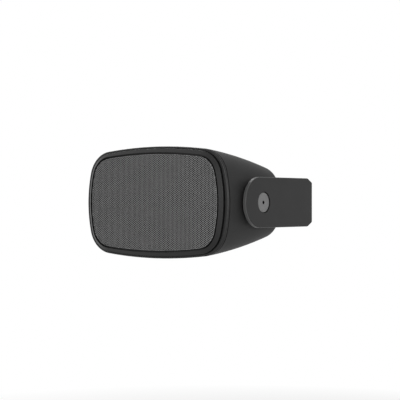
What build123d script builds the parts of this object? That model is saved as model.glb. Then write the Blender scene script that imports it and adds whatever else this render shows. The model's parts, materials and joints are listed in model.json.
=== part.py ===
from build123d import *
import os
from math import copysign, sqrt

# An outdoor wall loudspeaker on a U bracket, in millimetres.
# The origin is the middle of the bracket's back face, on the wall.
# +X runs to the right, the listener is towards -Y and +Z is up.
# A depth is measured behind the rim, the widest outline of the front.

# Front outline: an oval of eight tangent arcs
front_width = 243.0
front_height = 150.0
top_radius = 716.0
side_radius = 174.0
front_corner = 39.0

# Cabinet: a moulded tub that narrows towards the rear
rear_width = 185.0
rear_height = 103.8
rear_corner = 32.5
cabinet_depth = 165.0
height_bulge = 5.1
rear_edge_radius = 12.0
wall = 3.2
shell_inset = 0.2

# Baffle: rim flange, pocket for the grille frame and panel for the drivers
flange_front = 2.0
flange_back = 1.6
rim_back = 0.6
rim_edge_radius = 1.8
seam_gap = 0.9
seam_setback = 1.2
ledge_width = 2.2
end_ledge = 2.9
pocket_floor = 0.5
panel_back = 8.0
panel_clearance = 1.3

# Grille frame and grille
frame_gap = 1.0
frame_step = 5.0
lip_overhang = 0.6
lip_thickness = 1.1
lip_edge_radius = 0.45
grille_front = 8.2
grille_inset = 9.2
grille_fit = 0.9
grille_sheet = 1.0
grille_fold = 4.8
grille_edge_radius = 0.9
frame_ledge = 3.0
band_lip = 0.3
hole_across = 11.4
hole_pitch = 14.6
hole_margin = 3.2
cloth_thickness = 0.8
cloth_fit = 0.3

# Wall bracket: a flat strip bent into a U
pivot_to_wall = 123.4
pivot_depth = 78.2
arm_clearance = 2.0
arm_thickness = 5.0
arm_half_height = 33.8
arm_lead = 8.1
bend_radius = 6.0
clip_length = 13.0
clip_height = 7.0
clip_land = 3.0
arm_edge_radius = 1.4
wall_hole_radius = 2.75
wall_hole_spacing_x = 140.0
wall_hole_spacing_z = 30.0

# Pivots: a disc-headed bolt, a friction washer and a threaded insert on each side
recess_radius = 14.25
recess_depth = 2.6
disc_radius = 13.0
disc_thickness = 1.4
shoulder_radius = 4.0
pivot_running_fit = 0.08
thread_radius = 3.0
thread_fit = 0.05
thread_length = 12.0
socket_across = 4.6
socket_depth = 4.5
washer_radius = 16.0
washer_thickness = 1.6
boss_radius = 17.0
boss_reach = 18.0
insert_radius = 5.0
insert_length = 14.0

# Screws
screw_inset = 9.2
screw_spread = 70.0
screw_radius = 1.75
screw_fit = 0.05
screw_head_radius = 3.4
screw_head_height = 1.6
screw_head_fit = 0.3
screw_depth = 16.0
post_radius = 4.2
post_length = 16.0

# Woofer
woofer_x = -40.0
woofer_radius = 58.0
woofer_flange = 3.2
woofer_gasket_thickness = 0.8
driver_fit = 0.4
basket_mouth = 49.0
basket_wall = 2.0
basket_foot = 33.0
basket_depth = 36.0
basket_windows = 6
window_width = 20.0
window_front = 10.0
window_back = 29.0
roll_radius = 4.25
roll_centre = 42.25
rubber_thickness = 0.8
lip_width = 3.5
cone_edge = 38.5
cone_thickness = 0.9
cone_depth = 21.5
coil_radius = 13.0
coil_wall = 0.5
winding_wall = 0.4
winding_length = 10.0
coil_length = 25.0
coil_gap = 0.5
dust_cap_radius = 15.6
dust_cap_rise = 6.0
spider_thickness = 0.7
spider_wave = 1.2
spider_waves = 5
top_plate_radius = 36.0
top_plate_thickness = 5.0
magnet_radius = 38.0
magnet_bore = 18.0
magnet_thickness = 13.0
yoke_thickness = 5.0
woofer_screw_circle = 53.5
tag_width = 12.0
tag_reach = 9.0
tag_thickness = 2.0
tag_front = 20.0

# Tweeter
tweeter_x = 64.0
tweeter_radius = 33.0
tweeter_plate = 3.5
guide_radius = 24.0
dome_radius = 12.7
dome_rise = 4.4
dome_thickness = 0.4
tweeter_coil_length = 3.6
tweeter_gap = 0.5
surround_clamp = 17.0
surround_thickness = 0.9
tweeter_pole_plate = 3.0
tweeter_magnet_radius = 21.0
tweeter_magnet_bore = 15.0
tweeter_magnet_thickness = 8.0
tweeter_yoke_thickness = 4.0
tweeter_screw_circle = 28.0

# Crossover
board_x = -36.0
board_width = 84.0
board_height = 56.0
board_thickness = 1.6
standoff_length = 6.0
standoff_radius = 3.5
board_screw_inset = 5.0
inductor_radius = 13.0
inductor_core = 10.5
inductor_height = 16.0
inductor_flange = 1.8
capacitor_radius = 8.0
capacitor_height = 24.0
resistor_width = 9.0
resistor_height = 24.0
resistor_depth = 9.0

# Push terminals
terminal_x = 40.0
terminal_width = 66.0
terminal_height = 50.0
terminal_corner = 5.0
terminal_plate_thickness = 3.0
spigot_width = 50.0
spigot_height = 34.0
spigot_depth = 12.0
spigot_wall = 2.0
spigot_fit = 0.4
button_spread = 11.0
button_width = 10.0
button_height = 9.0
button_z = 4.0
button_out = 6.0
button_fit = 0.3
button_flange = 1.5
button_flange_lip = 1.5
wire_hole_radius = 1.9
wire_hole_drop = 11.0
contact_width = 6.0
contact_thickness = 0.6
contact_reach = 3.5

# Leads and wadding inside the cabinet
lead_radius = 1.6
lead_bend = 10.0
lead_edge = 3.2
lead_stagger = 6.4
lead_pitch = 8.0
wadding_left = 35.0
wadding_clearance = 2.0
wadding_fit = 0.3

# Places worked out from the sizes above
pivot_y = -pivot_to_wall
rim_y = pivot_y - pivot_depth
shell_front = flange_back + seam_gap
arm_reach = arm_lead + arm_half_height
bezel_width = front_width - 2 * end_ledge
flank_slope = (front_width - rear_width) / 2 / (cabinet_depth - shell_front)
flank_at_tip = front_width / 2 - shell_inset - flank_slope * (pivot_depth - arm_reach - shell_front)
arm_inner = flank_at_tip + arm_clearance
arm_outer = arm_inner + arm_thickness
boss_face = arm_inner - washer_thickness
recess_floor = arm_outer - recess_depth
panel_inset = shell_inset + wall + panel_clearance
rear_inner = cabinet_depth - wall
grille_back = grille_sheet - grille_front
frame_seat = grille_fold - grille_front
board_back = rear_inner - standoff_length
board_front = board_back - board_thickness
woofer_rebate = woofer_flange + woofer_gasket_thickness
tweeter_back = pocket_floor + tweeter_plate
forwards = (Align.CENTER, Align.CENTER, Align.MIN)
backwards = (Align.CENTER, Align.CENTER, Align.MAX)

os.makedirs("parts", exist_ok=True)


def save(piece, name):
    """Label a finished piece and write it."""
    piece.part.label = name
    export_step(piece.part, f"parts/{name}.step")


def front_plane(depth):
    """A plane that faces the listener, with X to the right and Y up."""
    return Plane(origin=(0, rim_y + depth, 0), x_dir=(1, 0, 0), z_dir=(0, -1, 0))


def driver_plane(x):
    """A plane through a driver's axis, with radius along X and depth along Y."""
    return Plane(origin=(x, rim_y, 0), x_dir=(1, 0, 0), z_dir=(0, 0, 1))


def driver_axis(x):
    """A driver's own axis."""
    return Axis((x, rim_y, 0), (0, 1, 0))


def pivot_plane(reach, side):
    """A plane across the pivot axis that faces outwards on one side."""
    return Plane(origin=(side * reach, pivot_y, 0), x_dir=(0, 1, 0), z_dir=(side, 0, 0))


def oval_arcs(width, height, corner, inset):
    """Centres and radii of the top, side and corner arcs of an oval, drawn inset."""
    top_r = top_radius - inset
    side_r = side_radius - inset
    corner_r = corner - inset
    top_c = Vector(0, height / 2 - top_radius)
    side_c = Vector(width / 2 - side_radius, 0)
    span = side_c - top_c
    to_top = top_r - corner_r
    to_side = side_r - corner_r
    along = (to_top**2 - to_side**2 + span.length**2) / (2 * span.length)
    across = sqrt(to_top**2 - along**2)
    unit = span.normalized()
    corner_c = top_c + unit * along + Vector(unit.Y, -unit.X) * across
    return top_c, top_r, side_c, side_r, corner_c, corner_r


def oval(width, height, corner, inset=0.0):
    """Fill the sketch in progress with an oval."""
    top_c, top_r, side_c, side_r, corner_c, corner_r = oval_arcs(width, height, corner, inset)
    above = top_c + (corner_c - top_c).normalized() * top_r
    beside = side_c + (corner_c - side_c).normalized() * side_r
    outwards = (above - corner_c) + (beside - corner_c)
    turn = corner_c + outwards.normalized() * corner_r
    crown = Vector(0, top_c.Y + top_r)
    flank = Vector(side_c.X + side_r, 0)
    points = [crown, above, turn, beside, flank]
    loop = list(points)
    loop += [Vector(p.X, -p.Y) for p in reversed(points[:-1])]
    loop += [Vector(-p.X, -p.Y) for p in points[1:]]
    loop += [Vector(-p.X, p.Y) for p in reversed(points[1:-1])]
    with BuildLine() as outline:
        for start in range(1, len(loop), 2):
            arc = [loop[(start + step) % len(loop)] for step in range(3)]
            ThreePointArc(*arc)
    make_face(outline.edges())


def rim_oval(inset=0.0):
    """The front outline, drawn inset."""
    oval(front_width, front_height, front_corner, inset)


def bezel_oval(inset):
    """The outline that the bezel and the grille share, narrower than the rim, drawn inset."""
    oval(bezel_width, front_height, front_corner, inset)


def taper_oval(depth, inset):
    """The cabinet's section at a depth, drawn inset."""
    share = (depth - shell_front) / (cabinet_depth - shell_front)
    hump = 4 * height_bulge * share * (1 - share)
    width = front_width + (rear_width - front_width) * share
    height = front_height + (rear_height - front_height) * share + hump
    corner = front_corner + (rear_corner - front_corner) * share
    oval(width, height, corner, shell_inset + inset)


def shell_loft(inset):
    """Loft the cabinet's taper and round its rear edge, drawn inset."""
    back = cabinet_depth - inset
    sections = []
    for depth in (shell_front, (shell_front + back) / 2, back):
        with BuildSketch(front_plane(depth)) as section:
            taper_oval(depth, inset)
        sections.append(section.sketch)
    shape = loft(sections)
    fillet(shape.faces().sort_by(Axis.Y)[-1].edges(), rear_edge_radius - inset)


def revolved(x, points):
    """Revolve a closed profile of radius and depth points about a driver's axis."""
    with BuildSketch(driver_plane(x)) as profile:
        with BuildLine() as outline:
            Polyline(*points, close=True)
        make_face(outline.edges())
    revolve(profile.sketch, axis=driver_axis(x))


def ring(x, inner, outer, front, back):
    """A plain ring about a driver's axis, between two depths."""
    revolved(x, [(inner, front), (outer, front), (outer, back), (inner, back)])


def screws(name, seat, spots, length):
    """Pan-head screws whose heads sit on one plane, as one group."""
    with BuildPart() as group:
        with Locations(front_plane(seat)):
            with Locations(*spots):
                Cylinder(screw_head_radius, screw_head_height, align=forwards)
                Cylinder(screw_radius, length, align=backwards)
    save(group, name)


def four_spots(x, half_width, half_height):
    """The corners of a rectangle whose middle lies at x."""
    return [(x + i * half_width, k * half_height) for i in (-1, 1) for k in (-1, 1)]


def around(x, radius):
    """Four spots at 45 degrees on a circle about a driver's axis."""
    side = radius * sqrt(0.5)
    return four_spots(x, side, side)


def lead(name, points):
    """A twin lead along straight runs and tangent arcs, given as x, depth and z."""
    with BuildPart() as cable:
        with BuildLine() as route:
            FilletPolyline(*[(x, rim_y + depth, z) for x, depth, z in points], radius=lead_bend)
        with BuildSketch(Plane(origin=route.wire() @ 0, z_dir=route.wire() % 0)) as section:
            Circle(lead_radius)
        sweep(section.sketch, path=route.wire())
    save(cable, name)


# Spots that several pieces share
top_screw_z = front_height / 2 - top_radius + sqrt(top_radius**2 - screw_spread**2) - screw_inset
edge_screw_spots = four_spots(0, screw_spread, top_screw_z)
edge_screw_spots += [(0, z * (front_height / 2 - screw_inset)) for z in (-1, 1)]
end_screw_spots = [(x * (front_width / 2 - screw_inset), 0) for x in (-1, 1)]
baffle_screw_spots = edge_screw_spots + end_screw_spots
woofer_screw_spots = around(woofer_x, woofer_screw_circle)
tweeter_screw_spots = around(tweeter_x, tweeter_screw_circle)
board_screw_x = board_width / 2 - board_screw_inset
board_screw_z = board_height / 2 - board_screw_inset
board_screw_spots = four_spots(board_x, board_screw_x, board_screw_z)
terminal_screw_x = (terminal_width + spigot_width) / 4
terminal_screw_z = (terminal_height + spigot_height) / 4
terminal_screw_spots = four_spots(terminal_x, terminal_screw_x, terminal_screw_z)

# Cabinet: tapered tub with pivot bosses, screw posts and board standoffs
with BuildPart() as cavity:
    shell_loft(wall)

with BuildPart() as screw_posts:
    shell_loft(wall / 2)
    with BuildSketch(front_plane(panel_back)):
        with Locations(*baffle_screw_spots):
            Circle(post_radius)
        with Locations(*[(x, z + copysign(screw_inset / 2, z)) for x, z in edge_screw_spots]):
            Rectangle(2 * post_radius, screw_inset)
        with Locations(*[(x + copysign(screw_inset / 2, x), z) for x, z in end_screw_spots]):
            Rectangle(screw_inset, 2 * post_radius)
    extrude(amount=-post_length, mode=Mode.INTERSECT)

with BuildPart() as cabinet:
    shell_loft(0)
    for side in (-1, 1):
        with Locations(pivot_plane(boss_face, side)):
            Cylinder(boss_radius, boss_reach, align=backwards)
    add(cavity.part, mode=Mode.SUBTRACT)
    for side in (-1, 1):
        with Locations(pivot_plane(boss_face, side)):
            Cylinder(boss_radius - wall, boss_reach, align=backwards)
        with Locations(pivot_plane(boss_face, side)):
            Cylinder(insert_radius, insert_length, align=backwards, mode=Mode.SUBTRACT)
    add(screw_posts.part)
    with Locations(front_plane(panel_back)):
        with Locations(*baffle_screw_spots):
            Cylinder(screw_radius + screw_fit, post_length, align=backwards, mode=Mode.SUBTRACT)
    with Locations(front_plane(board_back)):
        with Locations(*board_screw_spots):
            Cylinder(standoff_radius, standoff_length, align=backwards)
            Cylinder(screw_radius + screw_fit, standoff_length, align=backwards, mode=Mode.SUBTRACT)
    with BuildSketch(front_plane(cabinet_depth)):
        with Locations((terminal_x, 0)):
            Rectangle(spigot_width + 2 * spigot_fit, spigot_height + 2 * spigot_fit)
    extrude(amount=wall, mode=Mode.SUBTRACT)
    with Locations(front_plane(cabinet_depth)):
        with Locations(*terminal_screw_spots):
            Cylinder(screw_radius + screw_fit, wall, align=forwards, mode=Mode.SUBTRACT)
save(cabinet, "cabinet")

# Front baffle: rim flange, grille pocket and driver panel in one moulding
with BuildPart() as front_baffle:
    with BuildSketch(front_plane(rim_back)):
        rim_oval()
    extrude(amount=flange_front + rim_back)
    fillet(front_baffle.faces().sort_by(Axis.Y)[0].edges(), rim_edge_radius)
    with BuildSketch(front_plane(flange_back)):
        rim_oval(seam_setback)
    extrude(amount=flange_back - rim_back)
    with BuildSketch(front_plane(panel_back)):
        rim_oval(panel_inset)
    extrude(amount=panel_back - flange_back)
    with BuildSketch(front_plane(pocket_floor)):
        bezel_oval(ledge_width)
    extrude(amount=pocket_floor + flange_front, mode=Mode.SUBTRACT)
    with Locations(front_plane(pocket_floor)):
        with Locations((woofer_x, 0)):
            CounterBoreHole(basket_mouth + driver_fit, woofer_radius + driver_fit, woofer_rebate)
        with Locations((tweeter_x, 0)):
            CounterBoreHole(tweeter_magnet_radius + driver_fit, tweeter_radius + driver_fit, tweeter_plate)
        with Locations(*woofer_screw_spots, *tweeter_screw_spots):
            Hole(screw_radius + screw_fit)
        with Locations(*baffle_screw_spots):
            CounterBoreHole(
                screw_radius + screw_fit,
                screw_head_radius + screw_head_fit,
                screw_head_height + screw_head_fit,
            )
save(front_baffle, "front_baffle")

# Gasket in the seam between baffle and cabinet
with BuildPart() as baffle_gasket:
    with BuildSketch(front_plane(shell_front)):
        rim_oval(seam_setback)
    extrude(amount=seam_gap)
    with BuildSketch(front_plane(shell_front)):
        rim_oval(shell_inset + wall)
    extrude(amount=seam_gap, mode=Mode.SUBTRACT)
save(baffle_gasket, "baffle_gasket")

baffle_screw_seat = pocket_floor + screw_head_height + screw_head_fit
screws("baffle_screws", baffle_screw_seat, baffle_screw_spots, screw_depth)

# Grille frame: a bezel with an overhanging lip and a sloping band round the grille
with BuildPart() as grille_frame:
    lip_inset = ledge_width + frame_gap
    foot_inset = lip_inset + lip_overhang
    pocket_inset = grille_inset - grille_fit
    with BuildSketch(front_plane(lip_thickness - frame_step)):
        bezel_oval(lip_inset)
    extrude(amount=lip_thickness)
    fillet(grille_frame.faces().sort_by(Axis.Y)[0].edges(), lip_edge_radius)
    with BuildSketch(front_plane(-frame_step)):
        bezel_oval(lip_inset + lip_edge_radius)
    with BuildSketch(front_plane(-grille_front)):
        bezel_oval(pocket_inset - band_lip)
    loft()
    with BuildSketch(front_plane(pocket_floor)):
        bezel_oval(foot_inset)
    extrude(amount=pocket_floor + frame_step - lip_thickness)
    with BuildSketch(front_plane(frame_seat)):
        bezel_oval(pocket_inset)
    extrude(amount=grille_fold, mode=Mode.SUBTRACT)
    with BuildSketch(front_plane(pocket_floor)):
        bezel_oval(grille_inset + frame_ledge)
    extrude(amount=pocket_floor - frame_seat, mode=Mode.SUBTRACT)
save(grille_frame, "grille_frame")


def grille_holes():
    """Staggered spots whose holes lie wholly on the flat of the grille."""
    edge = grille_inset + hole_margin + hole_across / 2
    arcs = oval_arcs(bezel_width, front_height, front_corner, edge)
    top_c, top_r, side_c, side_r, corner_c, corner_r = arcs
    row_pitch = hole_pitch * sqrt(0.75)
    rows = int(front_height / 2 / row_pitch)
    columns = int(front_width / hole_pitch)
    spots = []
    for row in range(-rows, rows + 1):
        for column in range(-columns, columns + 1):
            spot = Vector((column + (row % 2) / 2) * hole_pitch, row * row_pitch)
            corner = Vector(abs(spot.X), abs(spot.Y))
            beyond = corner.X > corner_c.X and corner.Y > corner_c.Y
            inside = (corner - top_c).length <= top_r and (corner - side_c).length <= side_r
            if inside and not (beyond and (corner - corner_c).length > corner_r):
                spots.append((spot.X, spot.Y))
    return spots


# Grille: perforated sheet with its edge folded back into the frame
with BuildPart() as grille:
    with BuildSketch(front_plane(frame_seat)):
        bezel_oval(grille_inset)
    extrude(amount=grille_fold)
    fillet(grille.faces().sort_by(Axis.Y)[0].edges(), grille_edge_radius)
    with BuildSketch(front_plane(frame_seat)):
        bezel_oval(grille_inset + grille_sheet)
    extrude(amount=grille_fold - grille_sheet, mode=Mode.SUBTRACT)
    with BuildSketch(front_plane(grille_back)):
        with Locations(*grille_holes()):
            RegularPolygon(hole_across / 2, 6, major_radius=False)
    extrude(amount=grille_sheet, mode=Mode.SUBTRACT)
save(grille, "grille")

# Weather cloth stretched behind the grille
with BuildPart() as grille_cloth:
    with BuildSketch(front_plane(grille_back + cloth_thickness)):
        bezel_oval(grille_inset + grille_sheet + cloth_fit)
    extrude(amount=cloth_thickness)
save(grille_cloth, "grille_cloth")

# Wall bracket
arm_tip = pivot_y - arm_lead
arm_end = pivot_y - arm_reach
with BuildPart() as u_bracket:
    with BuildSketch(Plane.XY):
        Rectangle(2 * arm_outer, -arm_end, align=(Align.CENTER, Align.MAX))
        with Locations((0, -arm_thickness)):
            Rectangle(2 * arm_inner, -arm_end, align=(Align.CENTER, Align.MAX), mode=Mode.SUBTRACT)
    extrude(amount=arm_half_height, both=True)
    inner_bends = u_bracket.edges().filter_by(Axis.Z).group_by(Axis.Y)[-2]
    fillet(inner_bends, bend_radius - arm_thickness)
    outer_bends = u_bracket.edges().filter_by(Axis.Z).group_by(Axis.Y)[-1]
    fillet(outer_bends, bend_radius)
    with BuildSketch(Plane.YZ):
        with BuildLine():
            tip = ThreePointArc((arm_tip, arm_half_height), (arm_end, 0), (arm_tip, -arm_half_height))
            Polyline(
                tip @ 1,
                (-clip_land - clip_length, -arm_half_height),
                (-clip_land, clip_height - arm_half_height),
                (0, clip_height - arm_half_height),
                (0, arm_half_height - clip_height),
                (-clip_land, arm_half_height - clip_height),
                (-clip_land - clip_length, arm_half_height),
                tip @ 0,
            )
        make_face()
    extrude(amount=arm_outer, both=True, mode=Mode.INTERSECT)
    side_faces = u_bracket.faces().filter_by(Axis.X).group_by(Axis.X)
    for face in side_faces[0] + side_faces[-1]:
        fillet(face.edges().filter_by(GeomType.CIRCLE), arm_edge_radius)
    for side in (-1, 1):
        with Locations(pivot_plane(arm_outer, side)):
            CounterBoreHole(shoulder_radius + pivot_running_fit, recess_radius, recess_depth, arm_thickness)
    with Locations(Plane(origin=(0, 0, 0), x_dir=(1, 0, 0), z_dir=(0, 1, 0))):
        with GridLocations(wall_hole_spacing_x, wall_hole_spacing_z, 2, 2):
            Hole(wall_hole_radius, arm_thickness)
save(u_bracket, "u_bracket")

# Pivots
for side_name, side in (("left", -1), ("right", 1)):
    with BuildPart() as pivot_bolt:
        with Locations(pivot_plane(recess_floor, side)):
            Cylinder(disc_radius, disc_thickness, align=forwards)
            Cylinder(shoulder_radius, recess_floor - boss_face, align=backwards)
        with Locations(pivot_plane(boss_face, side)):
            Cylinder(thread_radius, thread_length, align=backwards)
        with BuildSketch(pivot_plane(recess_floor + disc_thickness, side)):
            RegularPolygon(socket_across / 2, 6, major_radius=False)
        extrude(amount=-socket_depth, mode=Mode.SUBTRACT)
    save(pivot_bolt, f"pivot_bolt_{side_name}")

    with BuildPart() as pivot_washer:
        with BuildSketch(pivot_plane(boss_face, side)):
            Circle(washer_radius)
            Circle(shoulder_radius + pivot_running_fit, mode=Mode.SUBTRACT)
        extrude(amount=washer_thickness)
    save(pivot_washer, f"pivot_washer_{side_name}")

    with BuildPart() as pivot_insert:
        with BuildSketch(pivot_plane(boss_face, side)):
            Circle(insert_radius)
            Circle(thread_radius + thread_fit, mode=Mode.SUBTRACT)
        extrude(amount=-insert_length)
    save(pivot_insert, f"pivot_insert_{side_name}")

# Woofer: basket with windows, motor, and a cone on its surround and spider
flange_seat = pocket_floor + woofer_flange
basket_floor = basket_depth - basket_wall
roll_outer = roll_centre + roll_radius
roll_inner = roll_centre - roll_radius
with BuildPart() as woofer_basket:
    basket_profile = [
        (roll_outer, pocket_floor),
        (woofer_radius, pocket_floor),
        (woofer_radius, flange_seat),
        (basket_mouth, flange_seat),
        (basket_foot, basket_depth),
        (coil_radius + coil_gap + basket_wall, basket_depth),
        (coil_radius + coil_gap + basket_wall, basket_floor),
        (basket_foot - basket_wall, basket_floor),
        (roll_outer, flange_seat),
    ]
    revolved(woofer_x, basket_profile)
    with BuildSketch(front_plane(window_back)):
        with Locations((woofer_x, 0)):
            with PolarLocations(basket_mouth, basket_windows):
                Rectangle(basket_foot, window_width)
    extrude(amount=window_back - window_front, mode=Mode.SUBTRACT)
    with Locations(front_plane(pocket_floor)):
        with Locations(*woofer_screw_spots):
            Hole(screw_radius + screw_fit, woofer_flange)
    tag_radius = basket_mouth - tag_reach / 2
    with BuildSketch(front_plane(tag_front + tag_thickness)):
        with Locations((woofer_x, -tag_radius)):
            Rectangle(tag_width, tag_reach)
    extrude(amount=tag_thickness)
save(woofer_basket, "woofer_basket")

with BuildPart() as woofer_gasket:
    gasket_back = flange_seat + woofer_gasket_thickness
    ring(woofer_x, basket_mouth + driver_fit, woofer_radius, flange_seat, gasket_back)
    with Locations(front_plane(flange_seat)):
        with Locations(*woofer_screw_spots):
            Hole(screw_radius + screw_fit, woofer_gasket_thickness)
save(woofer_gasket, "woofer_gasket")

screws("woofer_screws", pocket_floor, woofer_screw_spots, panel_back - pocket_floor)

with BuildPart() as woofer_surround:
    inner_roll = roll_radius - rubber_thickness
    foot = sqrt(roll_radius**2 - rubber_thickness**2)
    crest = pocket_floor - roll_radius
    lip_front = pocket_floor - rubber_thickness
    with BuildSketch(driver_plane(woofer_x)) as roll:
        with BuildLine():
            under = ThreePointArc(
                (roll_centre + inner_roll, pocket_floor),
                (roll_centre, crest + rubber_thickness),
                (roll_centre - inner_roll, pocket_floor),
            )
            inner_lip = Polyline(
                under @ 1,
                (roll_inner - lip_width, pocket_floor),
                (roll_inner - lip_width, lip_front),
                (roll_centre - foot, lip_front),
            )
            over = ThreePointArc(inner_lip @ 1, (roll_centre, crest), (roll_centre + foot, lip_front))
            Polyline(
                over @ 1,
                (roll_outer + lip_width, lip_front),
                (roll_outer + lip_width, pocket_floor),
                under @ 0,
            )
        make_face()
    revolve(axis=driver_axis(woofer_x))
save(woofer_surround, "woofer_surround")

cone_neck = pocket_floor + cone_depth
cone_back = cone_neck + cone_thickness
cone_lip = roll_inner - lip_width
with BuildPart() as woofer_cone:
    cone_profile = [
        (cone_edge, pocket_floor),
        (cone_edge, pocket_floor + cone_thickness),
        (cone_lip, pocket_floor + cone_thickness),
        (coil_radius + screw_fit, cone_back),
        (coil_radius + screw_fit, cone_neck),
        (cone_lip, pocket_floor),
    ]
    revolved(woofer_x, cone_profile)
save(woofer_cone, "woofer_cone")

cone_slope = cone_depth / (cone_lip - coil_radius)
cap_seat = pocket_floor + (cone_lip - dust_cap_radius) * cone_slope - cone_thickness
with BuildPart() as woofer_dust_cap:
    with BuildSketch(driver_plane(woofer_x)):
        with BuildLine():
            dome = SagittaArc((dust_cap_radius, cap_seat), (-dust_cap_radius, cap_seat), dust_cap_rise)
            inside = SagittaArc(
                (dust_cap_radius - cone_thickness, cap_seat),
                (cone_thickness - dust_cap_radius, cap_seat),
                dust_cap_rise - cone_thickness,
            )
            Line(dome @ 0, inside @ 0)
            Line(dome @ 1, inside @ 1)
        make_face()
        split(bisect_by=Plane.YZ, keep=Keep.TOP)
    revolve(axis=driver_axis(woofer_x))
save(woofer_dust_cap, "woofer_dust_cap")

coil_front = cone_neck - 2 * cone_thickness
with BuildPart() as woofer_voice_coil:
    coil_profile = [
        (coil_radius - coil_wall, coil_front),
        (coil_radius, coil_front),
        (coil_radius, coil_front + coil_length - winding_length),
        (coil_radius + winding_wall, coil_front + coil_length - winding_length),
        (coil_radius + winding_wall, coil_front + coil_length),
        (coil_radius - coil_wall, coil_front + coil_length),
    ]
    revolved(woofer_x, coil_profile)
save(woofer_voice_coil, "woofer_voice_coil")

with BuildPart() as woofer_spider:
    spider_inner = coil_radius + screw_fit
    spider_outer = basket_foot - basket_wall - driver_fit
    spider_step = (spider_outer - spider_inner) / (spider_waves + 2)
    spider_mid = (cone_back + basket_floor) / 2
    spider_front = []
    for i in range(spider_waves):
        spider_front.append((spider_inner + spider_step * i, spider_mid + spider_wave * (-1) ** i))
    spider_front += [(spider_outer - spider_step, basket_floor - spider_thickness)]
    spider_front += [(spider_outer, basket_floor - spider_thickness)]
    spider_back = [(r, depth + spider_thickness) for r, depth in reversed(spider_front)]
    revolved(woofer_x, spider_front + spider_back)
save(woofer_spider, "woofer_spider")

plate_bore = coil_radius + winding_wall + coil_gap
magnet_front = basket_depth + top_plate_thickness
yoke_front = magnet_front + magnet_thickness
yoke_back = yoke_front + yoke_thickness
with BuildPart() as woofer_top_plate:
    ring(woofer_x, plate_bore, top_plate_radius, basket_depth, magnet_front)
save(woofer_top_plate, "woofer_top_plate")

with BuildPart() as woofer_magnet:
    ring(woofer_x, magnet_bore, magnet_radius, magnet_front, yoke_front)
save(woofer_magnet, "woofer_magnet")

with BuildPart() as woofer_yoke:
    pole_radius = coil_radius - coil_wall - coil_gap
    yoke_profile = [
        (0, basket_depth),
        (pole_radius, basket_depth),
        (pole_radius, yoke_front),
        (top_plate_radius, yoke_front),
        (top_plate_radius, yoke_back),
        (0, yoke_back),
    ]
    revolved(woofer_x, yoke_profile)
save(woofer_yoke, "woofer_yoke")

# Tweeter: faceplate with a shallow guide, soft dome and a small motor
with BuildPart() as tweeter_faceplate:
    throat = dome_radius + tweeter_gap + dome_thickness
    faceplate_profile = [
        (guide_radius, pocket_floor),
        (tweeter_radius, pocket_floor),
        (tweeter_radius, tweeter_back),
        (throat, tweeter_back),
        (throat, tweeter_back - surround_thickness),
    ]
    revolved(tweeter_x, faceplate_profile)
    with Locations(front_plane(pocket_floor)):
        with Locations(*tweeter_screw_spots):
            Hole(screw_radius + screw_fit, tweeter_plate)
save(tweeter_faceplate, "tweeter_faceplate")

screws("tweeter_screws", pocket_floor, tweeter_screw_spots, panel_back - pocket_floor)

pole_plate_front = tweeter_back + surround_thickness
with BuildPart() as tweeter_dome:
    with BuildSketch(driver_plane(tweeter_x)):
        with BuildLine():
            dome = SagittaArc((dome_radius, tweeter_back), (-dome_radius, tweeter_back), dome_rise)
            inside = SagittaArc(
                (dome_radius - dome_thickness, tweeter_back),
                (dome_thickness - dome_radius, tweeter_back),
                dome_rise - dome_thickness,
            )
            Line(dome @ 0, inside @ 0)
            Line(dome @ 1, inside @ 1)
        make_face()
        split(bisect_by=Plane.YZ, keep=Keep.TOP)
    revolve(axis=driver_axis(tweeter_x))
save(tweeter_dome, "tweeter_dome")

with BuildPart() as tweeter_voice_coil:
    coil_inner = dome_radius - dome_thickness
    ring(tweeter_x, coil_inner, dome_radius, tweeter_back, tweeter_back + tweeter_coil_length)
save(tweeter_voice_coil, "tweeter_voice_coil")

with BuildPart() as tweeter_surround:
    surround_middle = pole_plate_front - surround_thickness / 2
    surround_profile = [
        (dome_radius + screw_fit, tweeter_back),
        (surround_clamp, tweeter_back),
        (surround_clamp, pole_plate_front),
        (throat, pole_plate_front),
        (throat, surround_middle),
        (dome_radius + screw_fit, surround_middle),
    ]
    revolved(tweeter_x, surround_profile)
save(tweeter_surround, "tweeter_surround")

tweeter_magnet_front = pole_plate_front + tweeter_pole_plate
tweeter_yoke_front = tweeter_magnet_front + tweeter_magnet_thickness
tweeter_yoke_back = tweeter_yoke_front + tweeter_yoke_thickness
with BuildPart() as tweeter_pole_ring:
    pole_bore = dome_radius + tweeter_gap
    ring(tweeter_x, pole_bore, tweeter_magnet_radius, pole_plate_front, tweeter_magnet_front)
save(tweeter_pole_ring, "tweeter_pole_ring")

with BuildPart() as tweeter_magnet:
    ring(tweeter_x, tweeter_magnet_bore, tweeter_magnet_radius, tweeter_magnet_front, tweeter_yoke_front)
save(tweeter_magnet, "tweeter_magnet")

with BuildPart() as tweeter_yoke:
    tweeter_pole_radius = dome_radius - dome_thickness - tweeter_gap
    tweeter_yoke_profile = [
        (0, pole_plate_front),
        (tweeter_pole_radius, pole_plate_front),
        (tweeter_pole_radius, tweeter_yoke_front),
        (tweeter_magnet_radius, tweeter_yoke_front),
        (tweeter_magnet_radius, tweeter_yoke_back),
        (0, tweeter_yoke_back),
    ]
    revolved(tweeter_x, tweeter_yoke_profile)
save(tweeter_yoke, "tweeter_yoke")

# Crossover board and its components, on standoffs at the rear
inductor_spot = (board_x - board_width / 4, 0)
capacitor_spots = [(board_x, z * board_height / 4) for z in (-1, 1)]
resistor_spot = (board_x + board_width / 4, 0)
with BuildPart() as crossover_board:
    with BuildSketch(front_plane(board_back)):
        with Locations((board_x, 0)):
            RectangleRounded(board_width, board_height, board_screw_inset / 2)
    extrude(amount=board_thickness)
    with Locations(front_plane(board_front)):
        with Locations(*board_screw_spots):
            Hole(screw_radius + screw_fit, board_thickness)
save(crossover_board, "crossover_board")

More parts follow.
